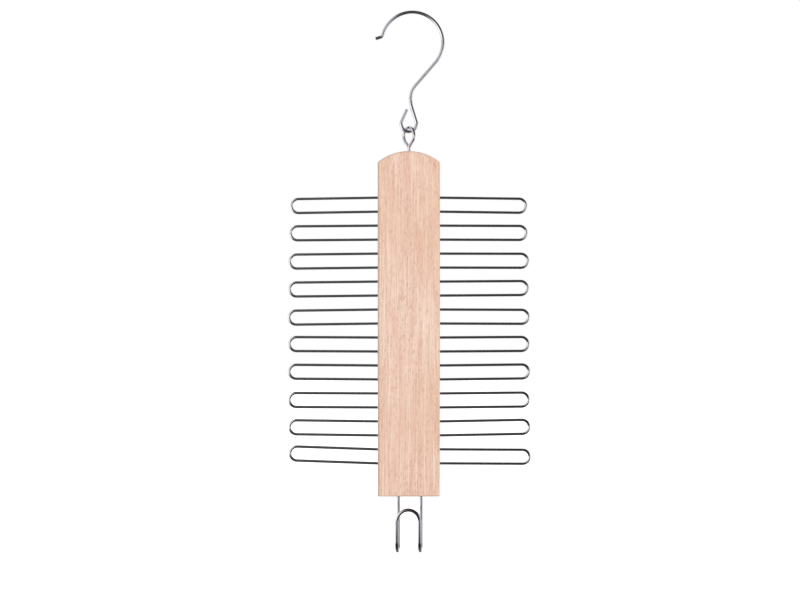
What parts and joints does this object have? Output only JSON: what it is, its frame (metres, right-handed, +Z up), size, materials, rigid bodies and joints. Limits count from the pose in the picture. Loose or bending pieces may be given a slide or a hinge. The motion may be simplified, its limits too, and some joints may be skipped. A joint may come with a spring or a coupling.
{
  "type": "tie hanger",
  "caption": "Flat wooden hanger with an arched top, rows of closed wire loops on both sides for ties, a belt hook below and a wire rail hook linked through a screw eye.",
  "frame": {"origin": "inside of the bow's wire where it rests on the rail, plumb above the screw eye and in the middle of the board's thickness", "axes": "+Z up, +X to the right seen from the front, -Y towards the viewer: the front is the side the belt hook opens to"},
  "size_m": [0.1914, 0.0233, 0.4261],
  "materials": {
    "beech": "planed and sanded beech, clear satin finish, grain up the board",
    "plated_wire": "bright plated steel wire"
  },
  "bodies": {
    "hook": {"hanging_hook": "plated_wire"},
    "eye": {"screw_eye": "plated_wire"},
    "rack": {"board": "beech", "belt_hook": "plated_wire", "left_loop_1": "plated_wire", "left_loop_2": "plated_wire", "left_loop_3": "plated_wire", "left_loop_4": "plated_wire", "left_loop_5": "plated_wire", "left_loop_6": "plated_wire", "left_loop_7": "plated_wire", "left_loop_8": "plated_wire", "left_loop_9": "plated_wire", "left_loop_10": "plated_wire", "right_loop_1": "plated_wire", "right_loop_2": "plated_wire", "right_loop_3": "plated_wire", "right_loop_4": "plated_wire", "right_loop_5": "plated_wire", "right_loop_6": "plated_wire", "right_loop_7": "plated_wire", "right_loop_8": "plated_wire", "right_loop_9": "plated_wire", "right_loop_10": "plated_wire"}
  },
  "joints": [
    {"name": "swing", "type": "hinge", "parent": "hook", "child": "eye", "pos_m": [0, 0, -0.09249], "axis": [1, 0, 0], "range_deg": [-25, 25]},
    {"name": "swivel", "type": "hinge", "parent": "eye", "child": "rack", "pos_m": [0, 0, -0.10819], "axis": [0, 0, 1], "range_deg": [-90, 90]}
  ]
}
